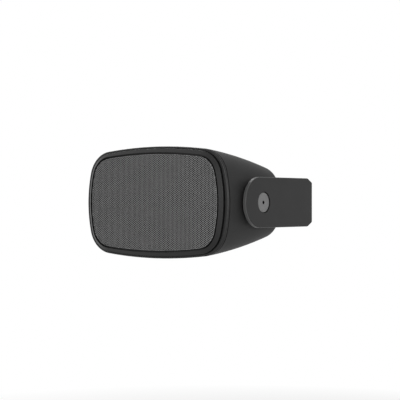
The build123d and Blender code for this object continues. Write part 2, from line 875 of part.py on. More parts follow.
screws("crossover_screws", board_front, board_screw_spots, board_thickness + standoff_length)

with BuildPart() as crossover_inductor:
    with Locations(front_plane(board_front)):
        with Locations(inductor_spot):
            Cylinder(inductor_core, inductor_height, align=forwards)
            Cylinder(inductor_radius, inductor_flange, align=forwards)
    with Locations(front_plane(board_front - inductor_height)):
        with Locations(inductor_spot):
            Cylinder(inductor_radius, inductor_flange, align=backwards)
save(crossover_inductor, "crossover_inductor")

with BuildPart() as crossover_capacitors:
    with Locations(front_plane(board_front)):
        with Locations(*capacitor_spots):
            Cylinder(capacitor_radius, capacitor_height, align=forwards)
save(crossover_capacitors, "crossover_capacitors")

with BuildPart() as crossover_resistor:
    with Locations(front_plane(board_front)):
        with Locations(resistor_spot):
            Box(resistor_width, resistor_height, resistor_depth, align=forwards)
save(crossover_resistor, "crossover_resistor")

# Push terminals at the rear
plate_back = cabinet_depth + terminal_plate_thickness
floor_front = cabinet_depth
spigot_front = cabinet_depth - spigot_depth
button_spots = {
    "red": (terminal_x - button_spread, button_z),
    "black": (terminal_x + button_spread, button_z),
}
wire_spots = [(x, z - wire_hole_drop) for x, z in button_spots.values()]
with BuildPart() as terminal_plate:
    with BuildSketch(front_plane(plate_back)):
        with Locations((terminal_x, 0)):
            RectangleRounded(terminal_width, terminal_height, terminal_corner)
    extrude(amount=terminal_plate_thickness)
    fillet(terminal_plate.faces().sort_by(Axis.Y)[-1].edges(), terminal_plate_thickness / 3)
    with BuildSketch(front_plane(cabinet_depth)):
        with Locations((terminal_x, 0)):
            Rectangle(spigot_width, spigot_height)
            Rectangle(spigot_width - 2 * spigot_wall, spigot_height - 2 * spigot_wall, mode=Mode.SUBTRACT)
    extrude(amount=spigot_depth)
    with BuildSketch(front_plane(plate_back)):
        with Locations(*button_spots.values()):
            Rectangle(button_width + 2 * button_fit, button_height + 2 * button_fit)
        with Locations(*wire_spots):
            Circle(wire_hole_radius)
        with Locations(*terminal_screw_spots):
            Circle(screw_radius + screw_fit)
    extrude(amount=terminal_plate_thickness, mode=Mode.SUBTRACT)
save(terminal_plate, "terminal_plate")

with BuildPart() as terminal_screws:
    with Locations(front_plane(plate_back)):
        with Locations(*terminal_screw_spots):
            Cylinder(screw_head_radius, screw_head_height, align=backwards)
            Cylinder(screw_radius, terminal_plate_thickness + wall, align=forwards)
save(terminal_screws, "terminal_screws")

for colour, spot in button_spots.items():
    with BuildPart() as terminal_button:
        with BuildSketch(front_plane(plate_back + button_out)):
            with Locations(spot):
                Rectangle(button_width, button_height)
        extrude(amount=button_out + terminal_plate_thickness)
        fillet(terminal_button.faces().sort_by(Axis.Y)[-1].edges(), button_flange / 2)
        with BuildSketch(front_plane(floor_front)):
            with Locations(spot):
                Rectangle(button_width + 2 * button_flange_lip, button_height + 2 * button_flange_lip)
        extrude(amount=button_flange)
    save(terminal_button, f"terminal_button_{colour}")

    with BuildPart() as terminal_contact:
        x, z = spot
        leaf_back = floor_front - button_flange
        foot_top = z - button_height / 2 - button_flange_lip - button_fit
        leaf_plane = Plane(origin=(x, rim_y, 0), x_dir=(0, 1, 0), z_dir=(1, 0, 0))
        with BuildSketch(leaf_plane):
            with BuildLine():
                Polyline(
                    (floor_front, foot_top),
                    (floor_front, foot_top - contact_reach),
                    (leaf_back - 2 * contact_thickness, foot_top - contact_reach),
                    (leaf_back - 2 * contact_thickness, z),
                    (leaf_back - contact_thickness, z),
                    (leaf_back - contact_thickness, foot_top - contact_reach + contact_thickness),
                    (floor_front - contact_thickness, foot_top - contact_reach + contact_thickness),
                    (floor_front - contact_thickness, foot_top),
                    close=True,
                )
            make_face()
        extrude(amount=contact_width / 2, both=True)
    save(terminal_contact, f"terminal_contact_{colour}")

# Leads inside the cabinet
lead_x = board_x + board_width / 6
lead_z = board_height / 2 - lead_edge
lead_run = (board_front - yoke_back) / 3
lead(
    "woofer_lead",
    [
        (woofer_x, tag_front + tag_thickness, -tag_radius),
        (woofer_x, yoke_back + lead_run, -tag_radius),
        (lead_x, board_front - lead_run, -lead_z),
        (lead_x, board_front, -lead_z),
    ],
)
lead(
    "tweeter_lead",
    [
        (tweeter_x, tweeter_yoke_back, tweeter_pole_radius),
        (tweeter_x, yoke_back, tweeter_pole_radius),
        (lead_x, board_front - lead_run, lead_z),
        (lead_x, board_front, lead_z),
    ],
)
input_x = board_x + board_width / 2 - lead_edge
input_turn = board_front - 2 * lead_bend
for row, (colour, (x, z)) in enumerate(button_spots.items()):
    foot_z = z - button_height / 2 - button_flange_lip - button_fit - contact_reach + lead_radius
    turn = input_turn - lead_stagger * row
    end_x = input_x - lead_pitch * row
    lead(
        f"input_lead_{colour}",
        [
            (x, floor_front - button_flange - 2 * contact_thickness, foot_z),
            (x, turn, foot_z),
            (end_x, turn, foot_z),
            (end_x, board_front, foot_z),
        ],
    )

# Wadding pressed against the walls, between the pivot bosses and the input leads
wadding_front = pivot_depth + boss_radius + wadding_clearance
wadding_back = input_turn - lead_stagger - lead_radius - wadding_clearance
with BuildPart() as acoustic_wadding:
    shell_loft(wall + wadding_fit)
    with BuildSketch(front_plane(wadding_back)):
        with Locations((wadding_left, 0)):
            Rectangle(front_width, front_height, align=(Align.MIN, Align.CENTER))
    extrude(amount=wadding_back - wadding_front, mode=Mode.INTERSECT)
save(acoustic_wadding, "acoustic_wadding")
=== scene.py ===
import json
import math
import bmesh
import bpy
from mathutils import Matrix, Vector

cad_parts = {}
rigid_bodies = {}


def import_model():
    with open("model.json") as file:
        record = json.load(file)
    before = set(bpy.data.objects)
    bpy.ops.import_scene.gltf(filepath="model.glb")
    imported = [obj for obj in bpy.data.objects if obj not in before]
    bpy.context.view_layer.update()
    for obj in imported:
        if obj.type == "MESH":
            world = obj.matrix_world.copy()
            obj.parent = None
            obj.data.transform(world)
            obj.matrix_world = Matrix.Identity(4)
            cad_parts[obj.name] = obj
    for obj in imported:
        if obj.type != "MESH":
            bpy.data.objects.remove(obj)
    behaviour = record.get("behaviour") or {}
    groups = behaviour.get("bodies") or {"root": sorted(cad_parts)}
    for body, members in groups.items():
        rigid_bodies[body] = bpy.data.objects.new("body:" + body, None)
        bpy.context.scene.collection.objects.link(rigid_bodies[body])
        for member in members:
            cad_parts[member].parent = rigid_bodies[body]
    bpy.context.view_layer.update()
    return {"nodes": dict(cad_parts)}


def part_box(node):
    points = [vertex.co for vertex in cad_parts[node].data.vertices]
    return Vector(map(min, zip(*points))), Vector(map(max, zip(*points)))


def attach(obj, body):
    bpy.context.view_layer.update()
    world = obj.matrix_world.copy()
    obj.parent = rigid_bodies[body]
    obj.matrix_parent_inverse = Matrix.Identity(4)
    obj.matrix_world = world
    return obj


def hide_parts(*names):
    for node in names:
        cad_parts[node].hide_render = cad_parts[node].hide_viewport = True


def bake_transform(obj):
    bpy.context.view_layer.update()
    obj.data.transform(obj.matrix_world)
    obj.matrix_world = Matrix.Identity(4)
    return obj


for spare in list(bpy.data.objects):  # the start-up cube, lamp and camera
    bpy.data.objects.remove(spare)
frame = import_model()
mm = 0.001
print("frame loaded:", len(frame["nodes"]), "nodes")

scene = bpy.context.scene
scene.view_settings.view_transform = "Standard"

# Shader building


def addNode(tree, kind, **settings):
    node = tree.nodes.new(kind)
    for key, value in settings.items():
        setattr(node, key, value)
    return node


def setInput(tree, socket, value):  # a link from another socket, or a plain value
    if isinstance(value, bpy.types.NodeSocket):
        tree.links.new(value, socket)
    else:
        socket.default_value = value


def feed(tree, node, **values):
    for key, value in values.items():
        setInput(tree, node.inputs[key.replace("_", " ")], value)
    return node


def newGroup(name, ins, outs):
    group = bpy.data.node_groups.new(name, "ShaderNodeTree")
    for label, kind, value in ins:
        socket = group.interface.new_socket(label, in_out="INPUT", socket_type=kind)
        socket.default_value = value
    for label, kind in outs:
        group.interface.new_socket(label, in_out="OUTPUT", socket_type=kind)
    start = group.nodes.new("NodeGroupInput")
    end = group.nodes.new("NodeGroupOutput")
    return group, start, end


def mathNode(tree, operation, first, second=0.0):
    node = addNode(tree, "ShaderNodeMath", operation=operation)
    setInput(tree, node.inputs[0], first)
    setInput(tree, node.inputs[1], second)
    return node.outputs[0]


def rangeNode(tree, value, low, high, toLow=0.0, toHigh=1.0):
    node = addNode(tree, "ShaderNodeMapRange")
    for socket, item in zip(node.inputs, (value, low, high, toLow, toHigh)):
        setInput(tree, socket, item)
    return node.outputs[0]


def mouldedGrain():  # pebbled skin of a moulding or a powder coat
    group, start, end = newGroup(
        "mouldedGrain",
        [("Scale", "NodeSocketFloat", 2200.0), ("Pebble", "NodeSocketFloat", 0.5)],
        [("Height", "NodeSocketFloat"), ("Mottle", "NodeSocketFloat")],
    )
    place = addNode(group, "ShaderNodeTexCoord").outputs["Object"]
    scale = start.outputs["Scale"]
    cells = addNode(group, "ShaderNodeTexVoronoi", feature="SMOOTH_F1")
    feed(group, cells, Vector=place, Scale=scale)
    fine = addNode(group, "ShaderNodeTexNoise")
    feed(group, fine, Vector=place, Scale=scale, Detail=3.0)
    mixed = addNode(group, "ShaderNodeMix")
    feed(group, mixed, Factor=start.outputs["Pebble"],
         A=fine.outputs["Fac"], B=cells.outputs["Distance"])
    broad = addNode(group, "ShaderNodeTexNoise")
    feed(group, broad, Vector=place, Scale=28.0, Detail=2.0)
    group.links.new(mixed.outputs[0], end.inputs["Height"])
    group.links.new(broad.outputs["Fac"], end.inputs["Mottle"])
    return group


def turnedLines():  # fine lathe lines round an axis along X, and the distance from that axis
    group, start, end = newGroup(
        "turnedLines",
        [("Middle", "NodeSocketVector", (0, 0, 0)), ("Scale", "NodeSocketFloat", 4000.0)],
        [("Height", "NodeSocketFloat"), ("Radius", "NodeSocketFloat")],
    )
    place = addNode(group, "ShaderNodeTexCoord")
    shift = addNode(group, "ShaderNodeVectorMath", operation="SUBTRACT")
    group.links.new(place.outputs["Object"], shift.inputs[0])
    group.links.new(start.outputs["Middle"], shift.inputs[1])
    flat = addNode(group, "ShaderNodeVectorMath", operation="MULTIPLY")
    flat.inputs[1].default_value = (0, 1, 1)
    group.links.new(shift.outputs[0], flat.inputs[0])
    far = addNode(group, "ShaderNodeVectorMath", operation="LENGTH")
    group.links.new(flat.outputs[0], far.inputs[0])
    lines = addNode(group, "ShaderNodeTexNoise", noise_dimensions="1D")
    feed(group, lines, W=far.outputs["Value"], Scale=start.outputs["Scale"], Detail=2.0)
    group.links.new(lines.outputs["Fac"], end.inputs["Height"])
    group.links.new(far.outputs["Value"], end.inputs["Radius"])
    return group


def plainWeave():  # over-and-under threads along X and Z
    group, start, end = newGroup(
        "plainWeave",
        [("Threads", "NodeSocketFloat", 1500.0)],
        [("Height", "NodeSocketFloat"), ("Thread", "NodeSocketFloat")],
    )
    place = addNode(group, "ShaderNodeTexCoord")
    apart = addNode(group, "ShaderNodeSeparateXYZ")
    group.links.new(place.outputs["Object"], apart.inputs[0])
    waves = []
    for label in ("X", "Z"):
        phase = mathNode(group, "MULTIPLY", apart.outputs[label], start.outputs["Threads"])
        waves.append(mathNode(group, "SINE", mathNode(group, "MULTIPLY", phase, math.pi)))
    crossed = mathNode(group, "MULTIPLY", waves[0], waves[1])
    group.links.new(rangeNode(group, crossed, -1.0, 1.0), end.inputs["Height"])
    group.links.new(mathNode(group, "ABSOLUTE", crossed), end.inputs["Thread"])
    return group


grainGroup = mouldedGrain()
turnedGroup = turnedLines()
weaveGroup = plainWeave()
heightSpan = (0.2, 0.8)  # where most of a grain's or a line's height lies


def useGroup(tree, group, **values):
    node = addNode(tree, "ShaderNodeGroup")
    node.node_tree = group
    return feed(tree, node, **values)


def newMaterial(name, roughness=0.5, metallic=0.0, specular=0.5):
    material = bpy.data.materials.new(name)
    material.use_nodes = True
    tree = material.node_tree
    shader = tree.nodes["Principled BSDF"]
    feed(tree, shader, Roughness=roughness, Metallic=metallic, Specular_IOR_Level=specular)
    return material, tree, shader


def mixColours(tree, factor, first, second):  # each one a socket or a plain colour
    tone = addNode(tree, "ShaderNodeMix", data_type="RGBA")
    tree.links.new(factor, tone.inputs["Factor"])
    for label, colour in (("A", first), ("B", second)):
        linked = isinstance(colour, bpy.types.NodeSocket)
        setInput(tree, tone.inputs[label], colour if linked else (*colour, 1))
    return tone.outputs["Result"]


def bump(tree, shader, height, look):
    node = addNode(tree, "ShaderNodeBump")
    feed(tree, node, Height=height, Distance=look["depth"], Strength=look["strength"])
    tree.links.new(node.outputs["Normal"], shader.inputs["Normal"])


def roughen(tree, shader, height, look):
    rough = rangeNode(tree, height, *heightSpan, *look["roughness"])
    tree.links.new(rough, shader.inputs["Roughness"])


def grainedSkin(tree, shader, look):  # roughness and bump from the grain, and its mottled colour
    grain = useGroup(tree, grainGroup, Scale=look["scale"], Pebble=look["pebble"])
    roughen(tree, shader, grain.outputs["Height"], look)
    bump(tree, shader, grain.outputs["Height"], look)
    return mixColours(tree, grain.outputs["Mottle"], look["dark"], look["pale"])


def grainedFinish(name, look):  # moulded, coated or bare skin
    material, tree, shader = newMaterial(
        name, metallic=look.get("metallic", 0.0), specular=look["specular"])
    tree.links.new(grainedSkin(tree, shader, look), shader.inputs["Base Color"])
    return material


def grey(value, warm=0.0):
    return (value * (1 + warm), value, value * (1 - warm))


def bareMetal(colour, roughness, scale):
    return dict(dark=[part * 0.85 for part in colour], pale=colour, metallic=1.0, specular=0.5,
                roughness=roughness, scale=scale, pebble=0.2, depth=0.00003, strength=0.25)


grained = {
    "cabinet_plastic": dict(
        dark=grey(0.013), pale=grey(0.018), specular=0.09, roughness=(0.46, 0.6),
        scale=1900.0, pebble=0.6, depth=0.00008, strength=0.35),
    "bezelPlastic": dict(
        dark=grey(0.008), pale=grey(0.011), specular=0.25, roughness=(0.32, 0.44),
        scale=2300.0, pebble=0.5, depth=0.00004, strength=0.25),
    "washer_rubber": dict(
        dark=grey(0.012), pale=grey(0.018), specular=0.25, roughness=(0.7, 0.85),
        scale=2600.0, pebble=0.2, depth=0.00005, strength=0.3),
    "basket_metal": dict(
        dark=grey(0.03), pale=grey(0.04), specular=0.4, roughness=(0.35, 0.5),
        scale=1500.0, pebble=0.3, depth=0.00005, strength=0.3),
    "cone_paper": dict(
        dark=grey(0.022, 0.04), pale=grey(0.04, 0.05), specular=0.25, roughness=(0.65, 0.85),
        scale=1200.0, pebble=0.2, depth=0.00012, strength=0.5),
    "magnet_ferrite": dict(
        dark=grey(0.05), pale=grey(0.075), specular=0.35, roughness=(0.55, 0.75),
        scale=1600.0, pebble=0.4, depth=0.00008, strength=0.5),
    "faceplate_plastic": dict(
        dark=grey(0.014), pale=grey(0.02), specular=0.35, roughness=(0.4, 0.55),
        scale=2000.0, pebble=0.5, depth=0.00006, strength=0.3),
    "component_plastic": dict(
        dark=(0.2, 0.17, 0.13), pale=(0.27, 0.24, 0.19), specular=0.4, roughness=(0.4, 0.6),
        scale=900.0, pebble=0.2, depth=0.00005, strength=0.2),
    "button_red": dict(
        dark=(0.42, 0.012, 0.012), pale=(0.52, 0.02, 0.018), specular=0.45, roughness=(0.24, 0.36),
        scale=900.0, pebble=0.2, depth=0.00003, strength=0.2),
    "button_black": dict(
        dark=grey(0.013), pale=grey(0.018), specular=0.45, roughness=(0.24, 0.36),
        scale=900.0, pebble=0.2, depth=0.00003, strength=0.2),
    "lead_sleeve": dict(
        dark=grey(0.02), pale=grey(0.03), specular=0.35, roughness=(0.4, 0.55),
        scale=700.0, pebble=0.2, depth=0.00004, strength=0.2),
    "board_resin": dict(
        dark=(0.02, 0.1, 0.035), pale=(0.035, 0.15, 0.055), specular=0.45, roughness=(0.28, 0.45),
        scale=800.0, pebble=0.1, depth=0.00003, strength=0.2),
    "wadding": dict(
        dark=grey(0.5, 0.02), pale=grey(0.68, 0.02), specular=0.1, roughness=(0.85, 1.0),
        scale=420.0, pebble=0.2, depth=0.0012, strength=0.9),
    "spider_cloth": dict(
        dark=(0.2, 0.12, 0.05), pale=(0.32, 0.2, 0.09), specular=0.15, roughness=(0.75, 0.95),
        scale=1800.0, pebble=0.2, depth=0.00012, strength=0.5),
    "screw_steel": bareMetal(grey(0.42), (0.25, 0.42), 1800.0),
    "motor_steel": bareMetal(grey(0.5), (0.28, 0.45), 1500.0),
    "insert_brass": bareMetal((0.72, 0.52, 0.22), (0.22, 0.38), 1800.0),
    "coil_copper": bareMetal((0.62, 0.26, 0.12), (0.25, 0.4), 2400.0),
}
finishes = {name: grainedFinish(name, look) for name, look in grained.items()}


def objectAxis(tree, label):
    place = addNode(tree, "ShaderNodeTexCoord")
    apart = addNode(tree, "ShaderNodeSeparateXYZ")
    tree.links.new(place.outputs["Object"], apart.inputs[0])
    return apart.outputs[label]


# Pivot discs: satin grey, lightly turned, with painted shade in the socket
pivotDisc = dict(dark=grey(0.125), pale=grey(0.15), specular=0.4, roughness=(0.34, 0.5),
                 scale=1500.0, pebble=0.3, lines=3500.0, depth=0.00004, strength=0.25,
                 socketShade=grey(0.004), wellRadius=0.0036, wellDepth=0.0003)


def pivotDiscFinish(name, middle, faceX):
    material, tree, shader = newMaterial(name, specular=pivotDisc["specular"])
    lines = useGroup(tree, turnedGroup, Middle=middle, Scale=pivotDisc["lines"])
    grain = useGroup(tree, grainGroup, Scale=pivotDisc["scale"], Pebble=pivotDisc["pebble"])
    face = mixColours(tree, grain.outputs["Mottle"], pivotDisc["dark"], pivotDisc["pale"])
    outward = mathNode(tree, "ABSOLUTE", objectAxis(tree, "X"))
    # painted shade: the socket recess, below the face and near the axis, is coloured nearly black
    sunk = mathNode(tree, "LESS_THAN", outward, faceX - pivotDisc["wellDepth"])
    near = mathNode(tree, "LESS_THAN", lines.outputs["Radius"], pivotDisc["wellRadius"])
    inWell = mathNode(tree, "MULTIPLY", sunk, near)
    colour = mixColours(tree, inWell, face, pivotDisc["socketShade"])
    tree.links.new(colour, shader.inputs["Base Color"])
    roughen(tree, shader, lines.outputs["Height"], pivotDisc)
    bump(tree, shader, lines.outputs["Height"], pivotDisc)
    return material


# Bracket strip: powder coat, with a painted highlight, a pale band along the arm's edges
strip = dict(dark=grey(0.018), pale=grey(0.024), specular=0.14, roughness=(0.32, 0.46),
             scale=1400.0, pebble=0.35, depth=0.00006, strength=0.3,
             paintedEdgeHighlight=grey(0.085), highlightStart=0.0007, highlightEnd=0.0001,  # painted highlight, inwards from the edge
             halfHeight=0.0338, tipAhead=0.0081)  # the arm's round end is ahead of the pivot


def bracketFinish(name, middle):
    material, tree, shader = newMaterial(name, specular=strip["specular"])
    coat = grainedSkin(tree, shader, strip)
    tip = middle - Vector((0, strip["tipAhead"], 0))
    fromTip = useGroup(tree, turnedGroup, Middle=tip).outputs["Radius"]
    ahead = mathNode(tree, "LESS_THAN", objectAxis(tree, "Y"), tip.y)
    height = mathNode(tree, "ABSOLUTE", objectAxis(tree, "Z"))
    reach = addNode(tree, "ShaderNodeMix")
    feed(tree, reach, Factor=ahead, A=height, B=fromTip)
    # painted highlight: pale colour in a band just inside the arm's outline
    edgeHighlight = rangeNode(tree, reach.outputs[0], strip["halfHeight"] - strip["highlightStart"],
                       strip["halfHeight"] - strip["highlightEnd"])
    colour = mixColours(tree, edgeHighlight, coat, strip["paintedEdgeHighlight"])
    tree.links.new(colour, shader.inputs["Base Color"])
    return material


# Grille sheet: grey coat on the face, with painted shade in the punched walls and on the fold
grilleFace = dict(dark=grey(0.15), pale=grey(0.175), specular=0.35, roughness=(0.38, 0.52),
                  scale=2600.0, pebble=0.3, depth=0.00004, strength=0.3,
                  wall=grey(0.008), shadeStart=0.00004, wallStart=0.0002)  # painted shade, from so far behind the face


def grilleFinish(name, faceY):
    material, tree, shader = newMaterial(name, specular=grilleFace["specular"])
    coat = grainedSkin(tree, shader, grilleFace)
    # painted shade: nearly black from just behind the front face, in the holes and on the fold
    sunk = rangeNode(tree, objectAxis(tree, "Y"),
                     faceY + grilleFace["shadeStart"], faceY + grilleFace["wallStart"])
    colour = mixColours(tree, sunk, coat, grilleFace["wall"])
    tree.links.new(colour, shader.inputs["Base Color"])
    return material


clothWeave = dict(dark=grey(0.005), pale=grey(0.014), specular=0.12, roughness=0.9,
                  threads=1400.0, depth=0.0002, strength=0.6)


def weatherClothFinish(name):
    material, tree, shader = newMaterial(
        name, roughness=clothWeave["roughness"], specular=clothWeave["specular"])
    weave = useGroup(tree, weaveGroup, Threads=clothWeave["threads"])
    colour = mixColours(tree, weave.outputs["Thread"], clothWeave["dark"], clothWeave["pale"])
    tree.links.new(colour, shader.inputs["Base Color"])
    bump(tree, shader, weave.outputs["Height"], clothWeave)
    return material


boltLow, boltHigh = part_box("pivot_bolt_right")
pivotMiddle = Vector((0, (boltLow.y + boltHigh.y) / 2, 0))
finishes["disc_metal"] = pivotDiscFinish("disc_metal", pivotMiddle, boltHigh.x)
finishes["bracket_metal"] = bracketFinish("bracket_metal", pivotMiddle)
finishes["grille_metal"] = grilleFinish("grille_metal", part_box("grille")[0].y)
finishes["grille_cloth"] = weatherClothFinish("grille_cloth")
for node in frame["nodes"].values():
    for place in node.material_slots:
        place.material = finishes[place.material.name.split(".")[0]]
for name in ("front_baffle", "grille_frame"):  # smoother than the pebbled tub behind them
    frame["nodes"][name].material_slots[0].material = finishes["bezelPlastic"]
print("finishes:", len(finishes))

# Outline that the bezel and the grille share: an oval of eight tangent arcs, in millimetres
bezelOval = dict(width=237.2, height=150.0, topRadius=716.0, sideRadius=174.0, corner=39.0,
                 flange=2.0)  # the baffle's flange stands so far ahead of the rim
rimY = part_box("front_baffle")[0].y / mm + bezelOval["flange"]
joinGap = 0.001  # vertices nearer than this are one


def ovalArcs():
    topC = Vector((0, bezelOval["height"] / 2 - bezelOval["topRadius"]))
    sideC = Vector((bezelOval["width"] / 2 - bezelOval["sideRadius"], 0))
    span = sideC - topC
    toTop = bezelOval["topRadius"] - bezelOval["corner"]
    toSide = bezelOval["sideRadius"] - bezelOval["corner"]
    along = (toTop**2 - toSide**2 + span.length_squared) / (2 * span.length)
    across = math.sqrt(toTop**2 - along**2)
    unit = span.normalized()
    cornerC = topC + unit * along + Vector((unit.y, -unit.x)) * across
    toSideTurn = math.atan2(cornerC.y - sideC.y, cornerC.x - sideC.x)
    toTopTurn = math.atan2(cornerC.y - topC.y, cornerC.x - topC.x)
    return [  # centre, radius, and the turns of the normal at which each arc starts and ends
        (sideC, bezelOval["sideRadius"], 0.0, toSideTurn),
        (cornerC, bezelOval["corner"], toSideTurn, toTopTurn),
        (topC, bezelOval["topRadius"], toTopTurn, math.pi / 2),
    ]


arcs = ovalArcs()
arcLengths = [radius * (end - start) for centre, radius, start, end in arcs]


def ovalSpot(share, inset):  # a point of one quarter, share 0 at the side and 1 at the top
    reach = share * sum(arcLengths)
    for arc, length in zip(arcs, arcLengths):
        if reach <= length or arc is arcs[-1]:
            centre, radius, start, end = arc
            turn = start + reach / radius
            return centre + Vector((math.cos(turn), math.sin(turn))) * (radius - inset)
        reach -= length


def ovalSpots(inset, steps=48):  # four quarters of so many steps, from the right side upwards
    quarter = [ovalSpot(step / steps, inset) for step in range(steps)]
    crown = [ovalSpot(1 - step / steps, inset) for step in range(steps)]
    spots = quarter + [Vector((-spot.x, spot.y)) for spot in crown]
    return spots + [-spot for spot in spots]


def ovalLoop(mesh, inset, depth, steps):  # depth behind the rim
    made = bmesh.ops.create_circle(mesh, cap_ends=False, segments=4 * steps, radius=1.0)["verts"]
    for vert, spot in zip(made, ovalSpots(inset, steps)):
        vert.co = Vector((spot.x, rimY + depth, spot.y))
    ring = set(made)
    return [edge for edge in mesh.edges if edge.verts[0] in ring and edge.verts[1] in ring]


def nearestSide(spot):  # the turn of the oval's nearest side, and how far inside it the spot is
    slack = 1e-6
    for centre, radius, start, end in arcs:
        away = Vector((abs(spot.x), abs(spot.z))) - centre
        turn = math.atan2(away.y, away.x)
        if start - slack <= turn <= end + slack:
            return turn, radius - away.length
    return 0.0, bezelOval["corner"]  # well inside


def outwards(spot):
    turn = nearestSide(spot)[0]
    across = math.copysign(math.cos(turn), spot.x)
    return Vector((across, 0, math.copysign(math.sin(turn), spot.z)))


def trimToOval(mesh, inset):  # the oval has no hollows, so a cut along each of its sides leaves it
    margin = 0.01
    outer = []
    for face in mesh.faces:
        within = [nearestSide(vert.co)[1] > inset + margin for vert in face.verts]
        face.material_index = int(all(within))  # 1 marks the cells that no cut reaches
        if not any(within):
            outer.append(face)
    bmesh.ops.delete(mesh, geom=outer, context="FACES")
    spots = ovalSpots(inset)
    for here, after in zip(spots, spots[1:] + spots[:1]):
        border = [face for face in mesh.faces if face.material_index == 0]
        parts = [part for face in border for part in (*face.verts, *face.edges, face)]
        away = (after.y - here.y, 0, here.x - after.x)
        bmesh.ops.bisect_plane(mesh, geom=list(dict.fromkeys(parts)), dist=joinGap / 10,
                               clear_outer=True, plane_co=(here.x, 0, here.y), plane_no=away)
    for face in mesh.faces:
        face.material_index = 0


def everyPart(mesh):
    return mesh.verts[:] + mesh.edges[:] + mesh.faces[:]


def onlyVerts(parts):
    return [part for part in parts if isinstance(part, bmesh.types.BMVert)]


def extrudeLoop(mesh, loop, place):  # a new ring of edges, each vertex where place puts it
    made = bmesh.ops.extrude_edge_only(mesh, edges=loop)["geom"]
    ring = [part for part in made if isinstance(part, bmesh.types.BMEdge) and part.is_boundary]
    for vert in {vert for edge in ring for vert in edge.verts}:
        vert.co = place(vert.co)
    return ring


def finishMesh(mesh, name, slotName, body, *nodes):  # from millimetres to the frame's metres
    bmesh.ops.remove_doubles(mesh, verts=mesh.verts, dist=joinGap)
    bmesh.ops.recalc_face_normals(mesh, faces=mesh.faces)
    bmesh.ops.scale(mesh, vec=(mm, mm, mm), verts=mesh.verts)
    data = bpy.data.meshes.new(name)
    mesh.to_mesh(data)
    mesh.free()
    piece = bpy.data.objects.new(name, data)
    scene.collection.objects.link(piece)
    data.materials.append(finishes[slotName])
    if body:  # a piece with no body, such as one meant to bend between two bodies, rides neither
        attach(piece, body)
    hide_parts(*nodes)
    return piece


def smoothSides(piece, degrees):  # edges that turn more than this stay sharp
    piece.data.shade_smooth()
    piece.data.set_sharp_from_angle(angle=math.radians(degrees))


# Grille: staggered fine holes right to its edge, which is folded back
grille = dict(inset=10.3, front=8.2, sheet=0.8, fold=4.8, edge=0.9,  # front is ahead of the rim
              pitch=2.59, column=2.19, hole=0.77, sliver=0.22,  # shares of a cell's width and area
              bendSteps=4, sharp=35)


def hexCells():  # six-sided cells in staggered columns, over the whole front
    mesh = bmesh.new()
    pitch, column = grille["pitch"], grille["column"]
    columns = int(bezelOval["width"] / 2 / column) + 1
    rows = int(bezelOval["height"] / pitch) + 1
    upright = Matrix.Rotation(math.pi / 2, 4, "X") @ Matrix.Rotation(math.pi / 6, 4, "Z")
    regular = pitch * math.sqrt(0.75)  # the column of a regular hexagon
    fitted = Matrix.Diagonal((column / regular, 1, 1, 1)) @ upright
    for x, z in ((0, 0), (column, pitch / 2)):
        corner = Vector((x - columns * column, rimY - grille["front"], z - rows * pitch / 2))
        bmesh.ops.create_circle(mesh, cap_ends=True, segments=6, radius=pitch / math.sqrt(3),
                                matrix=Matrix.Translation(corner) @ fitted)
    for step, count in (((0, 0, pitch), rows), ((2 * column, 0, 0), columns)):
        bmesh.ops.spin(mesh, geom=everyPart(mesh), cent=(0, 0, 0), axis=(0, 1, 0),
                       dvec=step, angle=0.0, steps=count, use_duplicate=True)
    bmesh.ops.remove_doubles(mesh, verts=mesh.verts, dist=pitch / 20)
    return mesh


def punchHoles(mesh):
    wholeCell = max(face.calc_area() for face in mesh.faces)
    cells = [face for face in mesh.faces if face.calc_area() > grille["sliver"] * wholeCell]
    bmesh.ops.inset_individual(mesh, faces=cells, thickness=0.0)
    for face in cells:
        middle = face.calc_center_median_weighted()
        for vert in face.verts:
            vert.co = middle.lerp(vert.co, grille["hole"])
    bmesh.ops.delete(mesh, geom=cells, context="FACES_ONLY")


def thickenSheet(mesh, rimEdges):  # a back and the walls of the holes, but none round the outside
    back = bmesh.ops.extrude_face_region(mesh, geom=mesh.faces[:], use_keep_orig=True)["geom"]
    moved = set(onlyVerts(back))
    bmesh.ops.translate(mesh, verts=list(moved), vec=(0, grille["sheet"], 0))
    walls = [face for edge in rimEdges for face in edge.link_faces
             if any(vert in moved for vert in face.verts)]
    bmesh.ops.delete(mesh, geom=walls, context="FACES")


def foldProfile():  # inset and depth: round the edge, along the fold and in to the sheet's back
    inset, edge, front = grille["inset"], grille["edge"], -grille["front"]
    profile = []
    for step in range(1, grille["bendSteps"] + 1):
        rise = math.radians(90 * (1 - step / grille["bendSteps"]))
        across, back = 1 - math.cos(rise), 1 - math.sin(rise)
        profile.append((inset + edge * across, front + edge * back))
    foldEnd = front + grille["fold"]
    profile += [(inset, foldEnd), (inset + grille["sheet"], foldEnd)]
    profile.append((inset + edge, front + grille["sheet"]))  # where finishMesh joins it
    return profile


def perforatedGrille():
    mesh = hexCells()
    inset, depth = grille["inset"] + grille["edge"], -grille["front"]
    trimToOval(mesh, inset)
    bmesh.ops.recalc_face_normals(mesh, faces=mesh.faces)
    loop = [edge for edge in mesh.edges if edge.is_boundary]
    punchHoles(mesh)
    thickenSheet(mesh, loop)
    for nextInset, nextDepth in foldProfile():
        grow, drop = inset - nextInset, Vector((0, nextDepth - depth, 0))
        loop = extrudeLoop(mesh, loop, lambda spot: spot + outwards(spot) * grow + drop)
        inset, depth = nextInset, nextDepth
    piece = finishMesh(mesh, "perforatedGrille", "grille_metal", "cabinet", "grille")
    smoothSides(piece, grille["sharp"])
    return piece


grillePiece = perforatedGrille()
print("grille:", len(grillePiece.data.polygons), "faces")

# Weather cloth behind the grille, in rings so far in from its edge
weatherCloth = dict(inset=11.5, depth=-6.8, thickness=0.35, rings=(0.0, 10.0, 24.0), steps=24)


